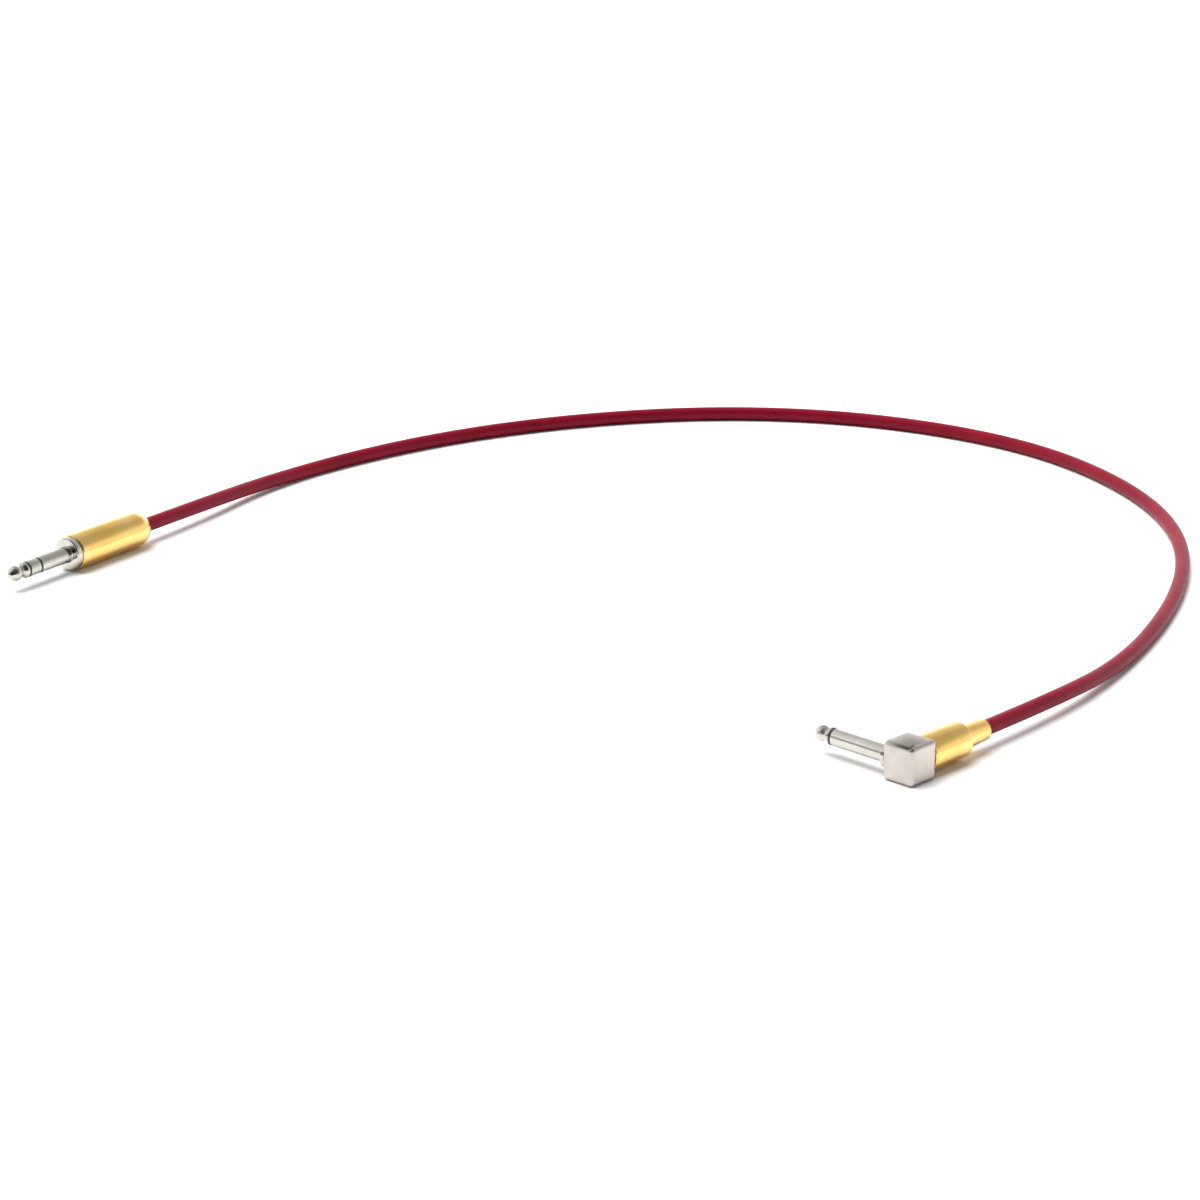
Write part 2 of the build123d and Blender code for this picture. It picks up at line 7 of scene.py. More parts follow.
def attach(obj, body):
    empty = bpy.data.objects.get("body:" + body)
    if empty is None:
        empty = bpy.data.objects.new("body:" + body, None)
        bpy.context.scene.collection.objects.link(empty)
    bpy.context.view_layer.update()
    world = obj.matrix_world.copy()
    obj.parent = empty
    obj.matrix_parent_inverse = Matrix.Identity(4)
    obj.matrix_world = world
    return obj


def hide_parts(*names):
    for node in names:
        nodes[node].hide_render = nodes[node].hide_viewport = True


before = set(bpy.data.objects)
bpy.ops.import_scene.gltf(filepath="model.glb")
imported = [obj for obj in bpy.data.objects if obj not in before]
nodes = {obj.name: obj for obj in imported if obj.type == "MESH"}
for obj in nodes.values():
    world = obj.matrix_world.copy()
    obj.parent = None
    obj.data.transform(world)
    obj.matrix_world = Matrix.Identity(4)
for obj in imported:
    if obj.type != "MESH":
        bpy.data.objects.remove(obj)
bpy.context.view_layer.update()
print("frame loaded with", len(nodes), "CAD nodes")

mm = 0.001

# where the plugs lie: points in the frame's metres, lengths along their axes in mm
straightPlug = {
    "nose": Vector((-0.1778, 0.06806, 0.0069)),
    "azimuth": 54.0,  # from the nose towards the cable
    "cableStart": 58.5,  # from the nose to the end of the jacket
    "firstCorner": 103.0,  # from the nose to the route's first free corner
}
anglePlug = {
    "centre": Vector((0.14837, -0.124, 0.007)),  # finger axis meets sleeve axis
    "azimuth": 46.2,  # from the body out through the gold sleeve
    "fingerReach": 40.25,  # from the centre to the nose
    "cableEnd": 11.2,  # from the centre to the end of the jacket
    "lastCorner": 76.7,  # from the centre to the route's last free corner
}


def levelDirection(azimuth):
    angle = math.radians(azimuth)
    return Vector((math.cos(angle), math.sin(angle), 0.0))


up = Vector((0.0, 0.0, 1.0))
straightDir = levelDirection(straightPlug["azimuth"])
sleeveDir = levelDirection(anglePlug["azimuth"])
fingerDir = up.cross(sleeveDir)


def axisFrame(origin, along):
    # x runs along the plug, y level across it, z up
    across = up.cross(along)
    turn = Matrix((along, across, up)).transposed().to_4x4()
    return Matrix.Translation(origin) @ turn


straightFrame = axisFrame(straightPlug["nose"], straightDir)
sleeveFrame = axisFrame(anglePlug["centre"], sleeveDir)
fingerNose = anglePlug["centre"] + fingerDir * anglePlug["fingerReach"] * mm
fingerFrame = axisFrame(fingerNose, -fingerDir)

cameraSet = {
    "place": (0.0461, -1.36334, 0.491),
    "pitchDown": 19.03,
    "lens": 119.76,
    "sensor": 36.0,
    "nearest": 0.01,
    "farthest": 30.0,
}


def makeCamera():
    data = bpy.data.cameras.new("camera")
    data.lens = cameraSet["lens"]
    data.sensor_width = cameraSet["sensor"]
    data.clip_start = cameraSet["nearest"]
    data.clip_end = cameraSet["farthest"]
    camera = bpy.data.objects.new("camera", data)
    camera.location = cameraSet["place"]
    camera.rotation_euler = (math.radians(90.0 - cameraSet["pitchDown"]), 0.0, 0.0)
    bpy.context.scene.collection.objects.link(camera)
    bpy.context.scene.camera = camera


makeCamera()
print("camera placed")


class Finish:
    # a material with the few node calls that the finishes below share

    def __init__(self, name):
        self.material = bpy.data.materials.new(name)
        self.material.use_nodes = True
        self.tree = self.material.node_tree
        self.shader = self.tree.nodes["Principled BSDF"]
        self.coords = self.tree.nodes.new("ShaderNodeTexCoord").outputs["Object"]

    def set(self, **values):
        for key, value in values.items():
            self.shader.inputs[key.replace("_", " ")].default_value = value

    def node(self, kind, **settings):
        made = self.tree.nodes.new(kind)
        for key, value in settings.items():
            setattr(made, key, value)
        return made

    def link(self, source, target):
        self.tree.links.new(source, target)

    def noise(self, scale, detail=3.0, roughness=0.5, vector=None):
        made = self.node("ShaderNodeTexNoise")
        made.inputs["Scale"].default_value = scale
        made.inputs["Detail"].default_value = detail
        made.inputs["Roughness"].default_value = roughness
        self.link(vector or self.coords, made.inputs["Vector"])
        return made.outputs["Fac"]

    def cells(self, scale):
        made = self.node("ShaderNodeTexVoronoi", feature="F1")
        made.inputs["Scale"].default_value = scale
        self.link(self.coords, made.inputs["Vector"])
        return made.outputs["Distance"]

    def stretched(self, frameMatrix, scale):
        # object coordinates seen from a plug's own axes, then scaled on each axis
        toAxis = frameMatrix.inverted()
        mapping = self.node("ShaderNodeMapping", vector_type="POINT")
        mapping.inputs["Location"].default_value = toAxis.to_translation()
        mapping.inputs["Rotation"].default_value = toAxis.to_euler("XYZ")
        self.link(self.coords, mapping.inputs["Vector"])
        scaled = self.node("ShaderNodeVectorMath", operation="MULTIPLY")
        scaled.inputs[1].default_value = scale
        self.link(mapping.outputs["Vector"], scaled.inputs[0])
        return scaled.outputs["Vector"]

    def spread(self, value, low, high, start=0.0, end=1.0):
        made = self.node("ShaderNodeMapRange")
        for key, number in (("From Min", start), ("From Max", end), ("To Min", low), ("To Max", high)):
            made.inputs[key].default_value = number
        self.link(value, made.inputs["Value"])
        return made.outputs["Result"]

    def sum(self, first, second, weight=1.0):
        # first, with this much of second on top
        made = self.node("ShaderNodeMath", operation="MULTIPLY_ADD")
        self.link(second, made.inputs[0])
        made.inputs[1].default_value = weight
        self.link(first, made.inputs[2])
        return made.outputs["Value"]

    def colour(self, value, first, second):
        # from first to second as the value goes from 0 to 1
        made = self.node("ShaderNodeMix", data_type="RGBA")
        self.link(value, made.inputs["Factor"])
        made.inputs["A"].default_value = (*first, 1.0)
        made.inputs["B"].default_value = (*second, 1.0)
        self.link(made.outputs["Result"], self.shader.inputs["Base Color"])

    def cloudy(self, cloud, first, second, start, end):
        # second shows where the cloud is above start, and fully from end on
        self.colour(self.spread(cloud, 0.0, 1.0, start, end), first, second)

    def rough(self, value, look, start=0.0, end=1.0):
        self.link(self.spread(value, *look["roughness"], start, end), self.shader.inputs["Roughness"])

    def bump(self, height, look):
        strength, distance = look["bump"]
        made = self.node("ShaderNodeBump")
        made.inputs["Strength"].default_value = strength
        made.inputs["Distance"].default_value = distance
        self.link(height, made.inputs["Height"])
        self.link(made.outputs["Normal"], self.shader.inputs["Normal"])


# scales are in cells to a metre, along, across and up from the plug's axis where there are three;
# bump is strength and depth in metres
goldPlate = {
    "pale": (0.94, 0.635, 0.235),
    "deep": (0.87, 0.55, 0.135),
    "roughness": (0.07, 0.17),
    "cloud": 90.0,
    "toolMarks": (9000.0, 120.0, 120.0),
    "bump": (0.12, 0.00002),
}


def makeGoldPlate(name, axis):
    look = goldPlate
    finish = Finish(name)
    finish.set(Metallic=1.0)
    cloud = finish.noise(look["cloud"], 4.0)
    finish.cloudy(cloud, look["pale"], look["deep"], 0.3, 0.7)
    toolMarks = finish.noise(1.0, 2.0, vector=finish.stretched(axis, look["toolMarks"]))
    finish.rough(finish.sum(cloud, toolMarks, 0.6), look, 0.4, 1.2)
    finish.bump(toolMarks, look)
    return finish.material


brightNickel = {
    "clean": (0.57, 0.555, 0.51),
    "dull": (0.46, 0.445, 0.40),
    "roughness": (0.07, 0.20),
    "cloud": 160.0,
    "toolMarks": (12000.0, 150.0, 150.0),
    "scuffs": (250.0, 3500.0, 3500.0),
    "bump": (0.10, 0.00002),
}


def makeBrightNickel(name, axis):
    look = brightNickel
    finish = Finish(name)
    finish.set(Metallic=1.0)
    cloud = finish.noise(look["cloud"], 5.0, 0.6)
    finish.cloudy(cloud, look["clean"], look["dull"], 0.35, 0.75)
    toolMarks = finish.noise(1.0, 2.0, vector=finish.stretched(axis, look["toolMarks"]))
    scuffs = finish.noise(1.0, 4.0, 0.7, vector=finish.stretched(axis, look["scuffs"]))
    finish.rough(finish.sum(cloud, scuffs, 0.8), look, 0.6, 1.3)
    finish.bump(finish.sum(toolMarks, scuffs, 0.5), look)
    return finish.material


satinNickel = {
    "light": (0.56, 0.515, 0.475),
    "dark": (0.48, 0.445, 0.415),
    "roughness": (0.32, 0.46),
    "cloud": 140.0,
    "grain": 6500.0,
    "ripple": 900.0,
    "bump": (0.16, 0.00004),
}


def makeSatinNickel(name):
    look = satinNickel
    finish = Finish(name)
    finish.set(Metallic=1.0)
    cloud = finish.noise(look["cloud"], 5.0, 0.6)
    grain = finish.noise(look["grain"], 2.0)
    finish.cloudy(cloud, look["light"], look["dark"], 0.3, 0.75)
    finish.rough(finish.sum(cloud, grain, 0.5), look, 0.4, 1.1)
    finish.bump(finish.sum(grain, finish.noise(look["ripple"]), 0.8), look)
    return finish.material


redJacket = {
    "red": (0.222, 0.0035, 0.018),
    "deep": (0.174, 0.0025, 0.013),
    "roughness": (0.38, 0.52),
    "sheen": 0.13,
    "cloud": 60.0,
    "grain": 4200.0,
    "handling": 420.0,
    "bump": (0.18, 0.00005),
}


def makeRedJacket(name):
    look = redJacket
    finish = Finish(name)
    finish.set(Specular_IOR_Level=look["sheen"])
    cloud = finish.noise(look["cloud"], 4.0)
    grain = finish.noise(look["grain"], 3.0)
    handling = finish.noise(look["handling"], 5.0, 0.65)
    finish.cloudy(cloud, look["red"], look["deep"], 0.3, 0.7)
    finish.rough(finish.sum(handling, grain, 0.4), look, 0.4, 1.0)
    finish.bump(finish.sum(grain, handling, 1.2), look)
    return finish.material


plastics = {
    "blackNylon": {
        "light": (0.012, 0.012, 0.013),
        "dark": (0.022, 0.021, 0.020),
        "roughness": (0.35, 0.55),
        "grain": 5000.0,
        "depth": {},
    },
    "whiteNylon": {
        "light": (0.80, 0.78, 0.71),
        "dark": (0.70, 0.67, 0.60),
        "roughness": (0.30, 0.50),
        "grain": 4000.0,
        "depth": {"Subsurface_Weight": 0.2, "Subsurface_Radius": (0.001, 0.0008, 0.0006)},
    },
    "smokyTube": {
        "light": (0.42, 0.43, 0.42),
        "dark": (0.34, 0.35, 0.34),
        "roughness": (0.10, 0.22),
        "grain": 3000.0,
        "depth": {"Transmission_Weight": 0.6, "IOR": 1.46},
    },
    "coreInsulation": {
        "light": (0.86, 0.85, 0.80),
        "dark": (0.78, 0.76, 0.70),
        "roughness": (0.32, 0.5),
        "grain": 4500.0,
        "depth": {"Subsurface_Weight": 0.3, "Subsurface_Radius": (0.001, 0.0009, 0.0008)},
    },
}
allPlastics = {"cloud": 300.0, "bump": (0.2, 0.00003)}


def makePlastic(name):
    look = plastics[name]
    finish = Finish(name)
    finish.set(**look["depth"])
    cloud = finish.noise(allPlastics["cloud"], 4.0)
    grain = finish.noise(look["grain"], 3.0)
    finish.colour(cloud, look["light"], look["dark"])
    finish.rough(finish.sum(cloud, grain, 0.5), look, 0.4, 1.1)
    finish.bump(grain, allPlastics)
    return finish.material


stampedTin = {
    "bright": (0.70, 0.69, 0.65),
    "brass": (0.66, 0.55, 0.36),  # shows where the tin has worn thin
    "roughness": (0.22, 0.42),
    "cloud": 700.0,
    "rolled": (600.0, 9000.0, 600.0),
    "bump": (0.15, 0.00002),
}


def makeStampedTin(name):
    look = stampedTin
    finish = Finish(name)
    finish.set(Metallic=1.0)
    cloud = finish.noise(look["cloud"], 5.0, 0.6)
    rolled = finish.noise(1.0, 3.0, vector=finish.stretched(straightFrame, look["rolled"]))
    finish.cloudy(cloud, look["bright"], look["brass"], 0.4, 0.8)
    finish.rough(finish.sum(cloud, rolled, 0.7), look, 0.5, 1.2)
    finish.bump(rolled, look)
    return finish.material


solder = {
    "shiny": (0.72, 0.72, 0.73),
    "frosted": (0.50, 0.50, 0.52),
    "roughness": (0.22, 0.45),
    "frost": 3800.0,
    "cloud": 1500.0,
    "bump": (0.3, 0.00005),
}


def makeSolder(name):
    look = solder
    finish = Finish(name)
    finish.set(Metallic=1.0)
    frost = finish.cells(look["frost"])
    cloud = finish.noise(look["cloud"], 4.0)
    finish.colour(cloud, look["shiny"], look["frosted"])
    finish.rough(frost, look, 0.0, 0.8)
    finish.bump(finish.sum(frost, cloud, 1.5), look)
    return finish.material


copper = {
    "fresh": (0.80, 0.42, 0.25),
    "tarnished": (0.58, 0.26, 0.13),
    "roughness": (0.2, 0.4),
    "cloud": 900.0,
    "strand": (900.0, 7000.0, 7000.0),
    "bump": (0.5, 0.00006),
}


def makeCopper(name):
    look = copper
    finish = Finish(name)
    finish.set(Metallic=1.0)
    cloud = finish.noise(look["cloud"], 4.0)
    strand = finish.noise(1.0, 2.0, vector=finish.stretched(sleeveFrame, look["strand"]))
    finish.colour(cloud, look["fresh"], look["tarnished"])
    finish.rough(strand, look)
    finish.bump(strand, look)
    return finish.material


fibre = {
    "grey": (0.30, 0.27, 0.23),
    "dark": (0.16, 0.14, 0.12),
    "roughness": (0.75, 0.95),
    "speckle": 2600.0,
    "felt": (800.0, 800.0, 5200.0),
    "bump": (0.4, 0.00006),
}


def makeFibre(name):
    look = fibre
    finish = Finish(name)
    speckle = finish.noise(look["speckle"], 6.0, 0.75)
    felt = finish.noise(1.0, 4.0, 0.7, vector=finish.stretched(sleeveFrame, look["felt"]))
    finish.cloudy(finish.sum(speckle, felt, 0.6), look["grey"], look["dark"], 0.5, 1.1)
    finish.rough(speckle, look)
    finish.bump(finish.sum(speckle, felt, 1.0), look)
    return finish.material


finishes = {
    "goldStraight": makeGoldPlate("goldStraight", straightFrame),
    "goldAngle": makeGoldPlate("goldAngle", sleeveFrame),
    "nickelStraight": makeBrightNickel("nickelStraight", straightFrame),
    "nickelAngle": makeBrightNickel("nickelAngle", fingerFrame),
    "satinNickel": makeSatinNickel("satinNickel"),
    "blackNylon": makePlastic("blackNylon"),
    "whiteNylon": makePlastic("whiteNylon"),
    "smokyTube": makePlastic("smokyTube"),
    "coreInsulation": makePlastic("coreInsulation"),
    "redJacket": makeRedJacket("redJacket"),
    "stampedTin": makeStampedTin("stampedTin"),
    "solder": makeSolder("solder"),
    "copper": makeCopper("copper"),
    "fibre": makeFibre("fibre"),
}

nodeFinish = {
    "straight_tip_contact": "nickelStraight",
    "straight_ring_contact": "nickelStraight",
    "straight_sleeve_contact": "nickelStraight",
    "straight_front_insulator": "blackNylon",
    "straight_rear_insulator": "blackNylon",
    "straight_ring_washer": "blackNylon",
    "straight_tip_washer": "blackNylon",
    "straight_ring_terminal": "stampedTin",
    "straight_tip_terminal": "stampedTin",
    "straight_ground_terminal": "stampedTin",
    "straight_shell": "goldStraight",
    "straight_shell_liner": "smokyTube",
    "straight_pigtail": "copper",
    "straight_tip_solder": "solder",
    "straight_ground_solder": "solder",
    "angle_tip_contact": "nickelAngle",
    "angle_tip_insulator": "blackNylon",
    "angle_sleeve_contact": "nickelAngle",
    "angle_body": "satinNickel",
    "angle_cover": "satinNickel",
    "angle_cover_sheet": "fibre",
    "angle_terminal_washer": "blackNylon",
    "angle_tip_terminal": "stampedTin",
    "angle_sleeve": "goldAngle",
    "angle_collet": "whiteNylon",
    "angle_pigtail": "copper",
    "angle_tip_solder": "solder",
    "angle_ground_solder": "solder",
    "cable_jacket": "redJacket",
    "cable_shield": "copper",
    "cable_insulation": "coreInsulation",
    "cable_conductor": "copper",
}


def paint(target, finishName):
    if not target.data.materials:
        target.data.materials.append(finishes[finishName])
    for slot in target.material_slots:
        slot.material = finishes[finishName]


for nodeName, finishName in nodeFinish.items():
    paint(nodes[nodeName], finishName)
print("finishes on", len(nodeFinish), "CAD nodes")

# the turned pieces; all their sizes are in mm, along a plug's axis and out from it
turning = {
    "segments": 96,
    "cornerSteps": 5,
    "threadPitch": 1.0,
    "threadStations": 8,  # in each turn
    "threadFade": 0.6,
    "plainTip": 0.5,  # left without a thread at a spigot's tip
    "boreInset": 0.3,  # left without one at a bore's mouth
    "borePast": 0.6,  # how far a bore's thread runs past the spigot's tip
    "crestWidth": 0.15,  # flat crest and root, as shares of half a turn
    "sharpAngle": 32.0,
}


def roundedProfile(corners):
    # corners are (along, radius, rounding), or (along, radius, 0, thread depth)
    points = []
    for place, corner in enumerate(corners):
        here = Vector(corner[:2])
        rounding = corner[2]
        depth = corner[3] if len(corner) > 3 else 0.0
        if not rounding:
            points.append((here.x, here.y, depth))
            continue
        toBefore = (Vector(corners[place - 1][:2]) - here).normalized()
        toAfter = (Vector(corners[(place + 1) % len(corners)][:2]) - here).normalized()
        half = toBefore.angle(toAfter) / 2
        centre = here + (toBefore + toAfter).normalized() * rounding / math.sin(half)
        first = here + toBefore * rounding / math.tan(half) - centre
        last = here + toAfter * rounding / math.tan(half) - centre
        start = math.atan2(first.y, first.x)
        sweep = (math.atan2(last.y, last.x) - start + math.pi) % (2 * math.pi) - math.pi
        for step in range(turning["cornerSteps"] + 1):
            angle = start + sweep * step / turning["cornerSteps"]
            along, radius = centre.x + rounding * math.cos(angle), centre.y + rounding * math.sin(angle)
            points.append((along, radius, 0.0))
    return points


def threadRun(start, end, radius, depth):
    # stations along a thread, which fades in and out at its ends
    fadeOver = turning["threadFade"]
    count = round((end - start) / turning["threadPitch"] * turning["threadStations"])
    run = []
    for step in range(count + 1):
        along = start + (end - start) * step / count
        fade = min(1.0, (along - start) / fadeOver, (end - along) / fadeOver)
        run.append((along, radius, 0.0, depth * fade))
    return run


def boreThread(size, mouth):
    # the thread inside a gold piece, from its far end out to the mouth
    bore = size["spigotRadius"] + size["threadGap"]
    end = size["spigotEnd"] + turning["borePast"]
    return threadRun(mouth + turning["boreInset"], end, bore, size["threadDepth"])[::-1]


def threadForm(phase):
    # 0 on the crest, 1 in the root
    crest = turning["crestWidth"]
    return min(1.0, max(0.0, (abs(phase % 1.0 - 0.5) * 2 - crest) / (1 - 2 * crest)))


def addPiece(name, mesh, finishName, body, slot, *replaced):
    mesh.set_sharp_from_angle(angle=math.radians(turning["sharpAngle"]))
    piece = bpy.data.objects.new(name, mesh)
    bpy.context.scene.collection.objects.link(piece)
    paint(piece, finishName)
    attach(piece, body)
    if replaced:
        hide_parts(*replaced)
    return piece


def turnedMesh(name, axis, corners, closed=True):
    # closed joins the last corner to the first, which a bored piece needs
    segments = turning["segments"]
    work = bmesh.new()
    rings = []
    for along, radius, depth in roundedProfile(corners):
        ring = []
        for step in range(segments if radius else 1):
            angle = 2 * math.pi * step / segments
            reach = radius - depth * threadForm(along / turning["threadPitch"] - step / segments)
            place = Vector((along, reach * math.cos(angle), reach * math.sin(angle))) * mm
            ring.append(work.verts.new(axis @ place))
        rings.append(ring)
    followers = rings[1:] + rings[:1] if closed else rings[1:]
    for first, second in zip(rings, followers):
        for step in range(segments):
            after = (step + 1) % segments
            quad = (first[step % len(first)], first[after % len(first)],
                    second[after % len(second)], second[step % len(second)])
            corner = list(dict.fromkeys(quad))
            if len(corner) > 2:
                work.faces.new(corner)
    bmesh.ops.recalc_face_normals(work, faces=work.faces)
    mesh = bpy.data.meshes.new(name)
    work.to_mesh(mesh)
    work.free()
    mesh.shade_smooth()
    return mesh


finger = {
    "radius": 3.175,
    "bore": 2.2,
    "nose": (0, 1.02, 1.85),  # these three are along, radius, rounding
    "ball": (3.22, 3.40, 2.6),
    "neck": (6.41, 2.03, 1.1),
    "shoulder": 0.9,
    "rodRadius": 0.8,
    "rivetRadius": 1.3,
    "rivetFace": 0.91,
    "rivetHeight": 0.6,
}


def tipCorners(headEnd, rodEnd):
    radius, rod, rivetEnd = finger["radius"], finger["rodRadius"], rodEnd + finger["rivetHeight"]
    return [
        (0, 0, 0), finger["nose"], finger["ball"], finger["neck"],
        (headEnd - finger["shoulder"], radius, 0.25), (headEnd, radius, 0.08),
        (headEnd, rod, 0), (rodEnd, rod, 0), (rodEnd, finger["rivetRadius"], 0.15),
        (rivetEnd, finger["rivetFace"], 0.2), (rivetEnd, 0, 0),
    ]


def ringedTubeCorners(front, ringEnd, tubeEnd, tubeOuter, tubeInner, edge=0.06):
    radius = finger["radius"]
    return [
        (front, tubeInner, 0), (front, radius, edge), (ringEnd, radius, edge), (ringEnd, tubeOuter, 0),
        (tubeEnd, tubeOuter, edge), (tubeEnd, tubeInner, 0),
    ]


straightTurned = {
    "headEnd": 8.7,
    "frontRingEnd": 9.7,
    "ringEnd": 14.9,
    "rearRingEnd": 15.9,
    "rodEnd": 46.55,
    "frontTube": (46.05, 1.25, 0.85),  # the tubes' ends, outer and inner radii
    "ringTube": (44.55, 1.7, 1.3),
    "rearTube": (42.05, 2.15, 1.75),
    "flangeFront": 31.75,
    "flangeBack": 34.55,
    "flangeRadius": 6.4,
    "spigotEnd": 41.55,
    "spigotRadius": 5.0,
    "spigotTip": 4.5,
    "threadStart": 0.15,  # behind the flange
    "threadDepth": 0.45,
    "threadGap": 0.05,
    "shellStart": 34.65,
    "shellEnd": 75.85,
    "shellRadius": 6.9,
    "dome": (3.6, 10.0),  # from the shell's end, rounding
    "rim": (0.55, 4.36),  # from the shell's end, radius
    "lip": (0.2, 4.1),
    "endFace": 3.8,
    "endWall": 7.0,
    "cableHole": 3.3,
}


def makeStraightFinger():
    size = straightTurned
    nickel = ("nickelStraight", "cable", "nickel")
    black = ("blackNylon", "cable", "black_nylon")
    corners = tipCorners(size["headEnd"], size["rodEnd"])
    mesh = turnedMesh("straightTip", straightFrame, corners, closed=False)
    addPiece("straightTip", mesh, *nickel, "straight_tip_contact")
    corners = ringedTubeCorners(size["headEnd"], size["frontRingEnd"], *size["frontTube"])
    mesh = turnedMesh("straightFrontRing", straightFrame, corners)
    addPiece("straightFrontRing", mesh, *black, "straight_front_insulator")
    corners = ringedTubeCorners(size["frontRingEnd"], size["ringEnd"], *size["ringTube"], edge=0.1)
    mesh = turnedMesh("straightRing", straightFrame, corners)
    addPiece("straightRing", mesh, *nickel, "straight_ring_contact")
    corners = ringedTubeCorners(size["ringEnd"], size["rearRingEnd"], *size["rearTube"])
    mesh = turnedMesh("straightRearRing", straightFrame, corners)
    addPiece("straightRearRing", mesh, *black, "straight_rear_insulator")
    start, front, back, end = size["rearRingEnd"], size["flangeFront"], size["flangeBack"], size["spigotEnd"]
    corners = [
        (start, finger["bore"], 0), (start, finger["radius"], 0.1), (front, finger["radius"], 0.3),
        (front, size["flangeRadius"], 0.5), (back, size["flangeRadius"], 0.35),
        (back, size["spigotRadius"], 0),
        *threadRun(back + size["threadStart"], end - turning["plainTip"], size["spigotRadius"],
                   size["threadDepth"]),
        (end, size["spigotTip"], 0.1), (end, finger["bore"], 0),
    ]
    mesh = turnedMesh("straightBarrel", straightFrame, corners)
    addPiece("straightBarrel", mesh, *nickel, "straight_sleeve_contact")


def makeStraightShell():
    size = straightTurned
    bore = size["spigotRadius"] + size["threadGap"]
    start, end, radius, hole = size["shellStart"], size["shellEnd"], size["shellRadius"], size["cableHole"]
    domeLength, domeRounding = size["dome"]
    rimLength, rimRadius = size["rim"]
    lipLength, lipRadius = size["lip"]
    wall = end - size["endWall"]
    corners = [
        (start, bore, 0.1), (start, radius, 0.45), (end - domeLength, radius, domeRounding),
        (end - rimLength, rimRadius, 0), (end - lipLength, lipRadius, 0.15), (end, size["endFace"], 0.12),
        (end, hole, 0.12), (wall, hole, 0), (wall, bore, 0),
        *boreThread(size, start),
    ]
    mesh = turnedMesh("straightShell", straightFrame, corners)
    addPiece("straightShell", mesh, "goldStraight", "straight_shell", "gold", "straight_shell")


angleTurned = {
    "headEnd": 8.0,  # the finger's lengths run from its nose
    "ringEnd": 9.0,
    "rodEnd": 38.45,
    "tubeRadii": (2.15, 0.85),
    "shoulderFront": 31.75,
    "shoulderBack": 33.75,
    "shoulderRadius": 4.5,
    "tailRadius": 3.7,
    "wallFace": 36.75,  # the block's front wall, inside
    "chamberBack": 4.9,  # the body's and the sleeve's run from the plug's centre
    "bodyBack": 7.7,
    "spigotWall": 3.7,
    "spigotEnd": 14.2,
    "spigotRadius": 5.0,
    "spigotTip": 4.5,
    "spigotRoot": 0.1,  # how deep in the block's back the threaded spigot starts
    "threadStart": 0.25,  # behind the block
    "threadDepth": 0.45,
    "threadGap": 0.05,
    "sleeveStart": 7.85,
    "threadBore": 24.7,
    "colletSeat": 26.7,
    "barrelEnd": 27.1,
    "neckStart": 28.7,
    "sleeveEnd": 40.2,
    "barrelRadius": 6.4,
    "neckRadius": 4.5,
    "endRadius": 3.9,
    "cableHole": 3.3,
    "sleeveHole": 3.4,
}


def makeAngleFinger():
    size = angleTurned
    nickel = ("nickelAngle", "cable", "nickel")
    wall, bore, tail = size["wallFace"], finger["bore"], size["tailRadius"]
    corners = tipCorners(size["headEnd"], size["rodEnd"])
    mesh = turnedMesh("angleTip", fingerFrame, corners, closed=False)
    addPiece("angleTip", mesh, *nickel, "angle_tip_contact")
    corners = ringedTubeCorners(size["headEnd"], size["ringEnd"], wall, *size["tubeRadii"])
    mesh = turnedMesh("angleTipRing", fingerFrame, corners)
    addPiece("angleTipRing", mesh, "blackNylon", "cable", "black_nylon", "angle_tip_insulator")
    start, front, back = size["ringEnd"], size["shoulderFront"], size["shoulderBack"]
    corners = [
        (start, bore, 0), (start, finger["radius"], 0.1), (front, finger["radius"], 0.15),
        (front, size["shoulderRadius"], 0.3), (back, size["shoulderRadius"], 0.12),
        (back, tail, 0), (wall, tail, 0), (wall, bore, 0),
    ]
    mesh = turnedMesh("angleBarrel", fingerFrame, corners)
    addPiece("angleBarrel", mesh, *nickel, "angle_sleeve_contact")


def makeAngleBody():
    # the block keeps its CAD shape, and its plain spigot gives way to a threaded one
    size = angleTurned
    work = bmesh.new()
    work.from_mesh(nodes["angle_body"].data)
    bmesh.ops.remove_doubles(work, verts=work.verts, dist=0.001 * mm)
    toSleeve = sleeveFrame.inverted()
    back = size["bodyBack"]
    justBehind = (back + size["spigotRoot"] / 2) * mm
    plain = [point for point in work.verts if (toSleeve @ point.co).x > justBehind]
    bmesh.ops.delete(work, geom=plain, context="VERTS")
    rims = [edge for edge in work.edges if edge.is_boundary]
    bmesh.ops.bridge_loops(work, edges=rims)
    inside, root, end = size["chamberBack"], back - size["spigotRoot"], size["spigotEnd"]
    hole, wall, radius = size["cableHole"], size["spigotWall"], size["spigotRadius"]
    corners = [
        (inside, hole, 0), (inside, wall, 0), (root, wall, 0), (root, radius, 0),
        *threadRun(back + size["threadStart"], end - turning["plainTip"], radius, size["threadDepth"]),
        (end, size["spigotTip"], 0.1), (end, hole, 0.1),
    ]
    work.from_mesh(turnedMesh("angleSpigot", sleeveFrame, corners))
    bmesh.ops.recalc_face_normals(work, faces=work.faces)
    mesh = bpy.data.meshes.new("angleBody")
    work.to_mesh(mesh)
    work.free()
    addPiece("angleBody", mesh, "satinNickel", "cable", "satin_nickel", "angle_body")


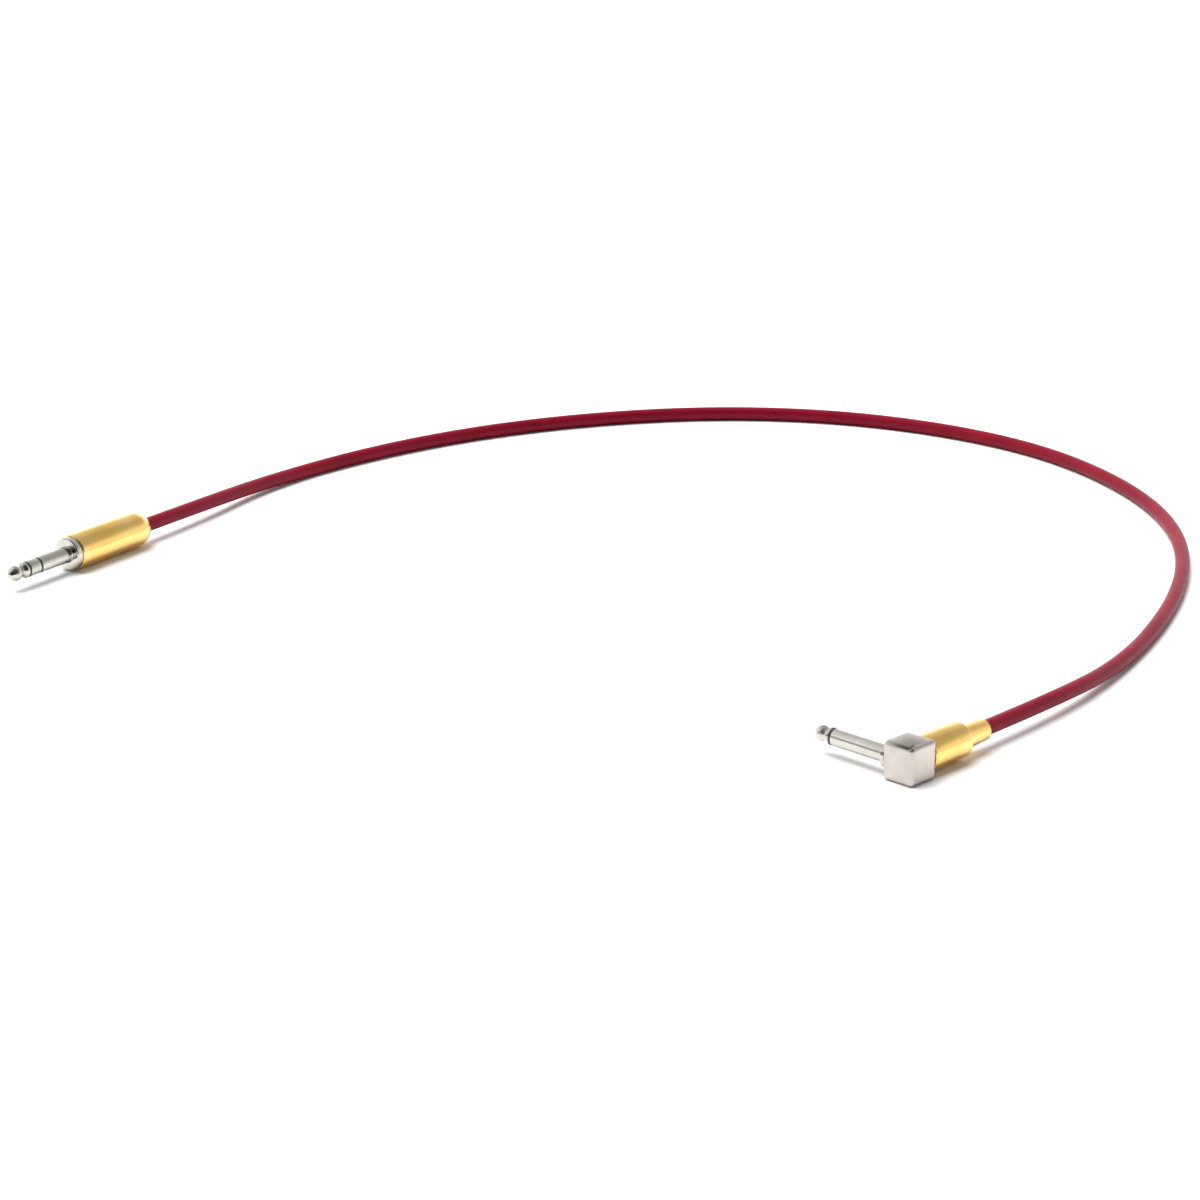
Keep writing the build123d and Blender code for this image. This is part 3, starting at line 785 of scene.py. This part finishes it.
def makeAngleSleeve():
    size = angleTurned
    bore = size["spigotRadius"] + size["threadGap"]
    start, end = size["sleeveStart"], size["sleeveEnd"]
    hole, barrel = size["sleeveHole"], size["barrelRadius"]
    corners = [
        (start, bore, 0.1), (start, barrel, 0.4), (size["barrelEnd"], barrel, 0.5),
        (size["neckStart"], size["neckRadius"], 0.5), (end, size["endRadius"], 0.35), (end, hole, 0.12),
        (size["colletSeat"], hole, 0), (size["threadBore"], bore, 0),
        *boreThread(size, start),
    ]
    mesh = turnedMesh("angleSleeve", sleeveFrame, corners)
    addPiece("angleSleeve", mesh, "goldAngle", "angle_sleeve", "gold", "angle_sleeve")


strippedEnds = {
    "shield": {"outer": 1.75, "inner": 1.35, "finish": "copper", "slot": "copper",
               "straight": 57.5, "angle": 10.2},  # where it starts along each plug
    "insulation": {"outer": 1.3, "inner": 0.4, "finish": "coreInsulation", "slot": "core_insulation",
                   "straight": 51.5, "angle": 4.4},
    "conductor": {"outer": 0.35, "inner": 0.0, "finish": "copper", "slot": "copper",
                  "straight": 48.05, "angle": 1.6},
}
intoJacket = 1.5  # how far each layer reaches into the jacket


def makeStrippedEnds():
    # the layers that stand out of the jacket inside each plug
    made = []
    plugs = (("straight", straightFrame, straightPlug["cableStart"]),
             ("angle", sleeveFrame, anglePlug["cableEnd"]))
    for plug, axis, jacketAt in plugs:
        for layer, size in strippedEnds.items():
            start, end = size[plug], jacketAt + intoJacket
            name = plug + layer.capitalize() + "End"
            corners = [(start, size["inner"], 0), (start, size["outer"], 0.05),
                       (end, size["outer"], 0.05), (end, size["inner"], 0)]
            mesh = turnedMesh(name, axis, corners, closed=size["inner"] > 0)
            made.append(addPiece(name, mesh, size["finish"], "cable", size["slot"]))
    return made


makeStraightFinger()
makeStraightShell()
makeAngleFinger()
makeAngleBody()
makeAngleSleeve()
layerEnds = makeStrippedEnds()
print("turned pieces made")

cable = {
    "radius": 2.8,
    "length": 0.872,  # in metres, along the whole route
    "roundSteps": 10,
    "lengthSteps": 24,
    "route": [  # x and y in mm of the corners that lie on the floor
        (-89.0, 203.0), (-49.0, 243.0), (-5.0, 273.0), (44.0, 293.0), (95.0, 302.0), (146.0, 297.0),
        (193.0, 277.0), (232.0, 245.0), (258.5, 201.0), (272.5, 153.0), (273.0, 102.0), (260.0, 45.0),
        (234.5, -17.0),
    ],
}


def onStraight(along):
    return straightPlug["nose"] + straightDir * along * mm


def onSleeve(along):
    return anglePlug["centre"] + sleeveDir * along * mm


def makeCable():
    floorPoints = [Vector((x * mm, y * mm, cable["radius"] * mm)) for x, y in cable["route"]]
    points = [onStraight(straightPlug["cableStart"]), onStraight(straightPlug["firstCorner"]), *floorPoints,
              onSleeve(anglePlug["lastCorner"]), onSleeve(anglePlug["cableEnd"])]
    data = bpy.data.curves.new("cableJacket", "CURVE")
    data.dimensions = "3D"
    data.bevel_depth = cable["radius"] * mm
    data.bevel_resolution = cable["roundSteps"]
    data.resolution_u = cable["lengthSteps"]
    data.use_fill_caps = True
    line = data.splines.new("NURBS")
    line.points.add(len(points) - 1)
    for made, place in zip(line.points, points):
        made.co = (*place, 1.0)
    line.order_u = 3
    line.use_endpoint_u = True
    jacket = bpy.data.objects.new("cableJacket", data)
    bpy.context.scene.collection.objects.link(jacket)
    paint(jacket, "redJacket")
    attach(jacket, "cable")
    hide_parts("cable_jacket", "cable_shield", "cable_insulation", "cable_conductor")


makeCable()
print("cable laid")

studio = {
    "floorSize": 12.0,
    "floorColour": (0.90, 0.90, 0.90),
    "floorMottle": 0.995,
    "key": {"from": (-0.30, 0.20, 1.0), "spread": 54.0, "power": 4.2},
    "skyStrength": 1.2,
    "skyRamp": [(0.0, 1.0), (0.25, 0.92), (0.55, 0.48), (1.0, 0.42)],  # brightness by height
    "patches": [  # direction, full and soft angle, brightness against the rest of the tent
        ((0.0, -0.93, 0.36), 15.0, 27.0, 0.05),
        ((0.15, -0.85, 0.50), 34.0, 74.0, 0.18),
        ((-0.95, -0.14, 0.24), 7.0, 17.0, 0.15),
        ((-0.71, 0.13, 0.69), 16.0, 46.0, 2.0),
        ((0.06, 0.93, 0.36), 14.0, 42.0, 1.5),
    ],
}


def makeFloor():
    half = studio["floorSize"] / 2
    mesh = bpy.data.meshes.new("floor")
    corners = [(-half, -half, 0), (half, -half, 0), (half, half, 0), (-half, half, 0)]
    mesh.from_pydata(corners, [], [(0, 1, 2, 3)])
    floor = bpy.data.objects.new("floor", mesh)
    bpy.context.scene.collection.objects.link(floor)
    finish = Finish("paperSweep")
    mottle = finish.noise(3.0, 3.0)
    pale = studio["floorColour"]
    finish.colour(mottle, pale, tuple(studio["floorMottle"] * part for part in pale))
    finish.set(Roughness=0.9, Specular_IOR_Level=0.2)
    mesh.materials.append(finish.material)


def makeKey():
    # one broad soft light from overhead, a little behind and left; the metals mirror only the tent
    settings = studio["key"]
    data = bpy.data.lights.new("key", "SUN")
    data.angle = math.radians(settings["spread"])
    data.energy = settings["power"]
    lamp = bpy.data.objects.new("key", data)
    lamp.rotation_euler = Vector(settings["from"]).to_track_quat("Z", "Y").to_euler()
    lamp.visible_glossy = False
    bpy.context.scene.collection.objects.link(lamp)


def makeTent():
    # white walls round the table, greyer overhead, dark where the tent is open
    world = bpy.data.worlds.new("tent")
    bpy.context.scene.world = world
    world.use_nodes = True
    tree = world.node_tree
    background = tree.nodes["Background"]
    coords = tree.nodes.new("ShaderNodeTexCoord")
    parts = tree.nodes.new("ShaderNodeSeparateXYZ")
    ramp = tree.nodes.new("ShaderNodeValToRGB")
    stops = studio["skyRamp"]
    while len(ramp.color_ramp.elements) < len(stops):
        ramp.color_ramp.elements.new(0.5)
    for element, (place, grey) in zip(ramp.color_ramp.elements, stops):
        element.position = place
        element.color = (grey, grey, grey, 1.0)
    tree.links.new(coords.outputs["Generated"], parts.inputs["Vector"])
    tree.links.new(parts.outputs["Z"], ramp.inputs["Fac"])
    light = ramp.outputs["Color"]
    for direction, full, soft, brightness in studio["patches"]:
        facing = tree.nodes.new("ShaderNodeVectorMath")
        facing.operation = "DOT_PRODUCT"
        facing.inputs[1].default_value = Vector(direction).normalized()
        tree.links.new(coords.outputs["Generated"], facing.inputs[0])
        patch = tree.nodes.new("ShaderNodeMapRange")
        edges = (math.cos(math.radians(soft)), math.cos(math.radians(full)), 1.0, brightness)
        for key, number in zip(("From Min", "From Max", "To Min", "To Max"), edges):
            patch.inputs[key].default_value = number
        tree.links.new(facing.outputs["Value"], patch.inputs["Value"])
        dim = tree.nodes.new("ShaderNodeVectorMath")
        dim.operation = "SCALE"
        tree.links.new(light, dim.inputs["Vector"])
        tree.links.new(patch.outputs["Result"], dim.inputs["Scale"])
        light = dim.outputs["Vector"]
    tree.links.new(light, background.inputs["Color"])
    background.inputs["Strength"].default_value = studio["skyStrength"]


makeFloor()
makeKey()
makeTent()
bpy.context.scene.view_settings.view_transform = "Standard"
print("floor and lights in place")
